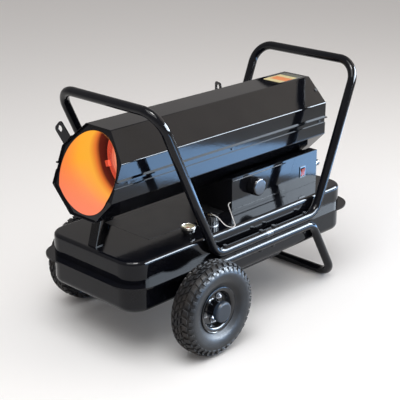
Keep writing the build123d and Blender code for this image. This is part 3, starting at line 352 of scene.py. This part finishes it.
def barrel_card():
    """The plain film at the rear of the barrel: a dark head band and an orange field on a pale ground."""
    finish = Finish("barrel_card")
    mottle = finish.noise(60, 4)
    across, along = finish.axis("X"), finish.axis("Y")
    pale = finish.mix(mottle, (0.70, 0.62, 0.32), (0.58, 0.50, 0.26))
    orange = finish.mix(mottle, (0.78, 0.27, 0.08), (0.66, 0.20, 0.06))
    blur = 2 * MM
    within = ((along - 0.296).rise(0.0, blur) * (0.333 - along).rise(0.0, blur)
              * (across + 0.024).rise(0.0, blur))
    head = (along - 0.352).rise(0.0, blur)
    finish.surface({
        "Base Color": finish.mix(head, finish.mix(within, pale, orange), (0.12, 0.125, 0.10)),
        "Roughness": 0.4 + mottle * 0.15,
    })
    finish.bump(finish.noise(500, 2), 0.00003)
    return finish.material


def tank_card():
    """The big plain label on the tank top: dull dark grey film."""
    finish = Finish("tank_card")
    mottle = finish.noise(26, 5)
    finish.surface({
        "Base Color": finish.mix(mottle, (0.012, 0.0125, 0.014), (0.035, 0.036, 0.04)),
        "Roughness": 0.25 + mottle * 0.2,
        "IOR": 1.35,
    })
    finish.bump(finish.noise(400, 2), 0.00004)
    return finish.material


BLACK = (0.0035, 0.004, 0.0065)
finishes = {
    "black_enamel": enamel("black_enamel", BLACK, (0.012, 0.0115, 0.012), 0.00006),
    "tube_enamel": enamel("tube_enamel", BLACK, (0.012, 0.012, 0.014), 0.00004, 0.09, 1.3),
    "dark_steel": enamel("dark_steel", (0.01, 0.01, 0.012), (0.03, 0.03, 0.032), 0.00008, 0.25, 1.45),
    "zinc_steel": satin_metal("zinc_steel", (0.5, 0.51, 0.54), (0.2, 0.2, 0.21), 0.28),
    "hub_paint": enamel("hub_paint", (0.02, 0.031, 0.05), (0.045, 0.055, 0.075), 0.0001, 0.32, 1.38),
    "rim_paint": enamel("rim_paint", (0.005, 0.005, 0.007), (0.02, 0.02, 0.02), 0.00008, 0.14, 1.45),
    "tyre_rubber": tyre_rubber(),
    "hot_steel": hot_steel(),
    "target_steel": target_steel(),
    "black_plastic": moulded(
        "black_plastic", (0.006, 0.006, 0.008), (0.014, 0.014, 0.018), 0.16, 0.00003, 0.3),
    "red_plastic": moulded("red_plastic", (0.62, 0.012, 0.008), (0.7, 0.04, 0.02), 0.2, 0.00002, 0.6),
    "nickel": satin_metal("nickel", (0.55, 0.54, 0.5), (0.32, 0.3, 0.27), 0.14),
    "pale_card": pale_card(),
    "needle_red": moulded("needle_red", (0.4, 0.015, 0.01), (0.5, 0.05, 0.03), 0.3, 0.00002, 0.3),
    "tan_plastic": moulded("tan_plastic", (0.11, 0.08, 0.045), (0.19, 0.15, 0.09), 0.5, 0.00004),
    "float_nylon": moulded("float_nylon", (0.03, 0.03, 0.03), (0.08, 0.08, 0.08), 0.5),
    "motor_paint": enamel("motor_paint", (0.06, 0.065, 0.07), (0.12, 0.12, 0.12), 0.00008, 0.35, 1.45),
    "cast_alloy": satin_metal("cast_alloy", (0.6, 0.6, 0.61), (0.32, 0.32, 0.32), 0.38),
    "carbon": moulded("carbon", (0.03, 0.03, 0.03), (0.07, 0.07, 0.07), 0.5),
    "brass": satin_metal("brass", (0.72, 0.48, 0.2), (0.35, 0.2, 0.08), 0.25),
    "ceramic": moulded("ceramic", (0.7, 0.68, 0.62), (0.8, 0.78, 0.74), 0.25, 0.00004, 0.3),
    "board_green": moulded("board_green", (0.02, 0.12, 0.045), (0.03, 0.18, 0.07), 0.3),
    "coil_resin": moulded("coil_resin", (0.02, 0.02, 0.025), (0.05, 0.05, 0.055), 0.35),
}

slot_of = {entry["node"]: entry["material_slot"] for entry in frame["record"]["subparts"]}
for node_name, node in nodes.items():
    for place in node.material_slots:
        place.material = finishes[slot_of[node_name]]


# ---- mesh helpers -------------------------------------------------------------------------------
CREASE_ANGLE = math.radians(32)


def finish_piece(mesh, name, body, material, replaced=(), smooth=True, bevel=0.0):
    """Turns a bmesh into a piece that rides on a body and wears the finish it is given."""
    bmesh.ops.recalc_face_normals(mesh, faces=mesh.faces)
    data = bpy.data.meshes.new(name)
    mesh.to_mesh(data)
    mesh.free()
    piece = bpy.data.objects.new(name, data)
    bpy.context.collection.objects.link(piece)
    data.materials.append(material)
    if smooth:
        data.polygons.foreach_set("use_smooth", [True] * len(data.polygons))
        data.set_sharp_from_angle(angle=CREASE_ANGLE)
    if bevel:
        edge = piece.modifiers.new("edge", "BEVEL")
        edge.width = bevel
        edge.segments = 2
        edge.limit_method = "ANGLE"
    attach(piece, body)
    if replaced:
        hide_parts(*replaced)


def prism(mesh, outline, z0, z1):
    """A plate with this outline between two heights."""
    low = [mesh.verts.new((x, y, z0)) for x, y in outline]
    high = [mesh.verts.new((x, y, z1)) for x, y in outline]
    mesh.faces.new(low)
    mesh.faces.new(high)
    for i in range(len(outline)):
        j = (i + 1) % len(outline)
        mesh.faces.new((low[i], low[j], high[j], high[i]))


def rounded(x0, x1, y0, y1, radius, steps=6):
    """A rectangle's outline with round corners."""
    outline = []
    for cx, cy, start in ((x1 - radius, y1 - radius, 0), (x0 + radius, y1 - radius, 90),
                          (x0 + radius, y0 + radius, 180), (x1 - radius, y0 + radius, 270)):
        for step in range(steps + 1):
            turn = math.radians(start + 90 * step / steps)
            outline.append((cx + radius * math.cos(turn), cy + radius * math.sin(turn)))
    return outline


# ---- tyres --------------------------------------------------------------------------------------
# Half of the tyre's section, crown to bead: distance from the middle plane and from the axle, in mm.
HALF_SECTION = [
    (0, 126.9), (7, 126.9), (13, 126.5), (25, 123.3), (33.3, 113.8), (36.3, 97), (31, 77), (22, 63.5),
    (20, 52),
]
TREAD_DEPTH = 4.2
TREAD_END, TREAD_FADE = 0.56, 0.1
CARCASS_UNDER, RIB_RISE, RIB_FROM, RIB_TO = 0.4, 0.7, 0.70, 0.73
BEAD_WIDTH, BEAD_DROP = 4 * MM, 0.2 * MM
AROUND_TYRE, ACROSS_TYRE = 152, 44
PITCHES = 38
# The blocks of one pitch: from and to across the tread, from and to along it, lean, and sink in mm.
# Across counts from 0 at the crown to 1 at the bead. Along and lean count in pitches.
BLOCKS = [
    (0.035, 0.21, 0.0, 0.72, 0.35, 0.3),
    (0.255, 0.42, 0.3, 0.98, -0.3, 0.3),
    (0.45, 0.575, -0.12, 0.42, 0.0, 0.0),
]


def curve_through(points, amount):
    """A smooth curve through the points: amount runs from 0 at the first to 1 at the last."""
    spot = amount * (len(points) - 1)
    index = min(int(spot), len(points) - 2)
    t = spot - index
    p0, p1 = points[max(index - 1, 0)], points[index]
    p2, p3 = points[index + 1], points[min(index + 2, len(points) - 1)]
    return [
        0.5 * (2 * b + (c - a) * t + (2 * a - 5 * b + 4 * c - d) * t * t + (3 * b - a - 3 * c + d) * t ** 3)
        for a, b, c, d in zip(p0, p1, p2, p3)
    ]


def tyre_spot(side, amount, sunk):
    """A point of the section: amount from -1 to 1 across, sunk inwards by so many millimetres."""
    dx, radius = curve_through(HALF_SECTION, abs(amount))
    ahead = curve_through(HALF_SECTION, min(abs(amount) + 0.01, 1))
    slope = Vector((ahead[0] - dx, ahead[1] - radius))
    if slope.length > TINY:
        slope.normalize()
        dx, radius = dx + slope.y * sunk, radius - slope.x * sunk
    return (side * WHEEL_X + math.copysign(dx, amount) * MM, radius * MM)


def around_axle(spot, turn):
    """A section point turned about the axle."""
    x, radius = spot
    return Vector((x, AXLE_Y + radius * math.sin(turn), AXLE_Z + radius * math.cos(turn)))


def carcass_sunk(amount):
    """How deep the carcass lies under the tread's face: full at the crown, nothing on the sidewall."""
    return TREAD_DEPTH * max(0.0, min(1.0, (TREAD_END - abs(amount)) / TREAD_FADE))


def tread_block(mesh, side, a0, a1, t0, t1, skew, sink):
    """One block between two places across the tread and two turns, smaller at its top than its foot."""
    steps = 3
    rows = []
    for lift, inset in ((TREAD_DEPTH + 1.0, 0.0), (sink + 0.7, 0.06), (sink, 0.12)):
        row = []
        for i in range(steps + 1):
            share = inset + (1 - 2 * inset) * i / steps
            amount = a0 + (a1 - a0) * share
            lean = skew * (share - 0.5)
            for edge in (inset, 1 - inset):
                turn = t0 + (t1 - t0) * edge + lean
                row.append(mesh.verts.new(around_axle(tyre_spot(side, amount, lift), turn)))
        rows.append(row)
    for low, high in zip(rows, rows[1:]):
        ring = [0, 2, 4, 6, 7, 5, 3, 1]
        for i in range(len(ring)):
            j = (i + 1) % len(ring)
            mesh.faces.new((low[ring[i]], low[ring[j]], high[ring[j]], high[ring[i]]))
    top = rows[-1]
    for i in range(steps):
        mesh.faces.new((top[2 * i], top[2 * i + 1], top[2 * i + 3], top[2 * i + 2]))


def lathe(mesh, section, around):
    """Turns a closed section about the axle."""
    rings = []
    for step in range(around):
        turn = 2 * math.pi * step / around
        rings.append([mesh.verts.new(around_axle(spot, turn)) for spot in section])
    for step in range(around):
        ring, after = rings[step], rings[(step + 1) % around]
        for i in range(len(section)):
            j = (i + 1) % len(section)
            mesh.faces.new((ring[i], ring[j], after[j], after[i]))


def add_tyre(side, name):
    """Carcass with sidewall ribs, then staggered tread blocks and shoulder lugs."""
    mesh = bmesh.new()
    section = []
    for i in range(ACROSS_TYRE + 1):
        amount = -1 + 2 * i / ACROSS_TYRE
        rib = RIB_RISE if RIB_FROM < abs(amount) < RIB_TO else 0.0
        section.append(tyre_spot(side, amount or TINY, carcass_sunk(amount) - rib + CARCASS_UNDER))
    (x0, radius0), (x1, radius1) = section[0], section[-1]
    inner = [(x1 - BEAD_WIDTH, radius1 - BEAD_DROP), (x0 + BEAD_WIDTH, radius0 - BEAD_DROP)]
    lathe(mesh, section + inner, AROUND_TYRE)
    pitch = 2 * math.pi / PITCHES
    for step in range(PITCHES):
        start = step * pitch
        for flank in (-1, 1):
            shift = start + (0.5 * pitch if flank > 0 else 0.0)
            for a0, a1, t0, t1, lean, sink in BLOCKS:
                tread_block(mesh, side, a0 * flank, a1 * flank, shift + t0 * pitch, shift + t1 * pitch,
                            flank * lean * pitch, sink)
    finish_piece(mesh, f"tyre_{name}_tread", f"wheel_{name}", finishes["tyre_rubber"],
                 [f"tyre_{name}"])


# ---- rims ---------------------------------------------------------------------------------------
# The rim's section, in mm outward from the middle plane and from the axle: from the hub's outer end over
# the face and its flange, through the bead seat, and over the back to the hub's inner end.
RIM_FACE = [
    (38, 17.7), (38, 20.9), (7, 21.2), (3.5, 23), (1.5, 26), (1.5, 40), (2.5, 44), (6, 46.6), (13, 47.4),
    (18.5, 48.8), (21.6, 51.4), (22.8, 55), (23.4, 59.5), (24.6, 60.6), (24.2, 61.9), (22.4, 61.9),
    (21.6, 60),
]
BEAD_SEAT = [
    (21.5, 54), (20.3, 50.9), (17, 50), (12, 49.4), (-12, 49.4), (-17, 50), (-20.3, 50.9), (-21.5, 54),
]
RIM_BACK = [
    (-21.6, 60), (-22.4, 61.9), (-24.2, 61.9), (-24.6, 60.6), (-23.4, 59.5), (-22.8, 55), (-21.6, 51.4),
    (-18.5, 48.8), (-8, 47), (-3.5, 44), (-2.5, 40), (-2.5, 26), (-4, 23), (-7, 21.2), (-42, 20.9),
    (-42, 17.7),
]
AROUND_RIM = 96
BOLT_CIRCLE, BOLT_COUNT = 34, 5
# A bolt's parts, in mm outward from the middle plane: from, to, radius and corners.
BOLT_PARTS = [
    (1.5, 3.0, 8.2, 24), (3.0, 8.0, 6.4, 6), (8.0, 11.5, 3.6, 16),
    (-4.0, -2.5, 8.2, 24), (-8.5, -4.0, 6.4, 6),
]


def add_rim(side, name):
    """Pressed steel rim with rolled flanges and a hub tube."""
    mesh = bmesh.new()
    section = [(side * (WHEEL_X + dx * MM), radius * MM) for dx, radius in RIM_FACE + BEAD_SEAT + RIM_BACK]
    lathe(mesh, section, AROUND_RIM)
    finish_piece(mesh, f"rim_{name}_pressing", f"wheel_{name}", finishes["rim_paint"],
                 [f"rim_{name}"])


def add_rim_bolts(side, name):
    """The bolts that clamp the rim's disc: a washer and a hexagon on each side, and the thread's end on the
    outer side.
    """
    mesh = bmesh.new()
    for step in range(BOLT_COUNT):
        turn = 2 * math.pi * (step + 0.5) / BOLT_COUNT
        spot = around_axle((0.0, BOLT_CIRCLE * MM), turn)
        for near, far, radius, corners in BOLT_PARTS:
            ends = []
            for dx in (near, far):
                end = []
                for k in range(corners):
                    angle = 2 * math.pi * k / corners
                    end.append(mesh.verts.new((
                        side * (WHEEL_X + dx * MM),
                        spot.y + radius * MM * math.cos(angle),
                        spot.z + radius * MM * math.sin(angle),
                    )))
                mesh.faces.new(end)
                ends.append(end)
            for k in range(corners):
                j = (k + 1) % corners
                mesh.faces.new((ends[0][k], ends[0][j], ends[1][j], ends[1][k]))
    finish_piece(mesh, f"rim_{name}_bolts", f"wheel_{name}", finishes["zinc_steel"],
                 bevel=0.5 * MM)


for wheel_side, wheel_name in ((-1, "left"), (1, "right")):
    add_tyre(wheel_side, wheel_name)
    add_rim(wheel_side, wheel_name)
    add_rim_bolts(wheel_side, wheel_name)


# ---- labels -------------------------------------------------------------------------------------
LABEL_CORNER, LABEL_FOOT, LABEL_FACE = 4 * MM, 0.02 * MM, 0.3 * MM


def add_label(name, limits, height, material):
    """A thin plain film with round corners, lying on a flat top between limits x0, x1, y0 and y1."""
    mesh = bmesh.new()
    prism(mesh, rounded(*limits, LABEL_CORNER), height + LABEL_FOOT, height + LABEL_FACE)
    finish_piece(mesh, name, "root", material, smooth=False)


barrel_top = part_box("upper_shell")[1][2]
tank_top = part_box("tank_upper")[1][2]
add_label("barrel_sticker", (-0.030, 0.035, 0.274, 0.378), barrel_top, barrel_card())
add_label("tank_sticker", (-0.100, 0.075, -0.285, 0.000), tank_top, tank_card())


# ---- stage and light ----------------------------------------------------------------------------
FLOOR_SIZE, FLOOR_Z = 40, -0.0005


def add_stage():
    """A plain pale floor."""
    bpy.ops.mesh.primitive_plane_add(size=FLOOR_SIZE, location=(0, 0, FLOOR_Z))
    floor = bpy.context.object
    floor.name = "studio_floor"
    finish = Finish("studio_floor")
    finish.surface({"Base Color": (0.9, 0.9, 0.9), "Roughness": 0.85})
    floor.data.materials.append(finish.material)


LIT_POINT = Vector((0.0, 0.0, 0.42))


def add_light(name, azimuth, elevation, distance, size, radiance, colour, gloss_only=False):
    """A soft box aimed at the heater. Azimuth runs from +X to +Y. gloss_only lights no matt surface."""
    lamp = bpy.data.lights.new(name, "AREA")
    lamp.shape = "RECTANGLE"
    lamp.size, lamp.size_y = size
    lamp.energy = radiance * math.pi * size[0] * size[1]
    lamp.color = colour
    holder = bpy.data.objects.new(name, lamp)
    turn, lift = math.radians(azimuth), math.radians(elevation)
    towards = Vector((math.cos(lift) * math.cos(turn), math.cos(lift) * math.sin(turn), math.sin(lift)))
    holder.location = LIT_POINT + towards * distance
    holder.rotation_euler = (-towards).to_track_quat("-Z", "Y").to_euler()
    bpy.context.collection.objects.link(holder)
    holder.visible_diffuse = not gloss_only


add_stage()
add_light("crease_strip", azimuth=43.5, elevation=18, distance=2.6, size=(3.2, 1.1), radiance=48,
          colour=(0.76, 0.87, 1.0), gloss_only=True)
add_light("slope_box", azimuth=62, elevation=41, distance=3.0, size=(3.4, 1.5), radiance=1.2,
          colour=(1.0, 0.9, 0.8))
add_light("crown_box", azimuth=-43, elevation=70, distance=2.6, size=(0.6, 0.6), radiance=40,
          colour=(1.0, 0.98, 0.96), gloss_only=True)
add_light("floor_card", azimuth=41, elevation=-16, distance=1.02, size=(2.0, 0.12), radiance=12,
          colour=(0.28, 0.56, 1.0), gloss_only=True)
add_light("floor_fill", azimuth=-60, elevation=62, distance=3.4, size=(2.6, 2.6), radiance=4.6,
          colour=(1.0, 1.0, 1.0))

world = bpy.data.worlds.new("studio")
world.use_nodes = True
backdrop = world.node_tree.nodes["Background"].inputs
backdrop["Color"].default_value = (1.0, 0.95, 0.92, 1)
backdrop["Strength"].default_value = 0.45
bpy.context.scene.world = world
bpy.context.scene.view_settings.view_transform = "Standard"
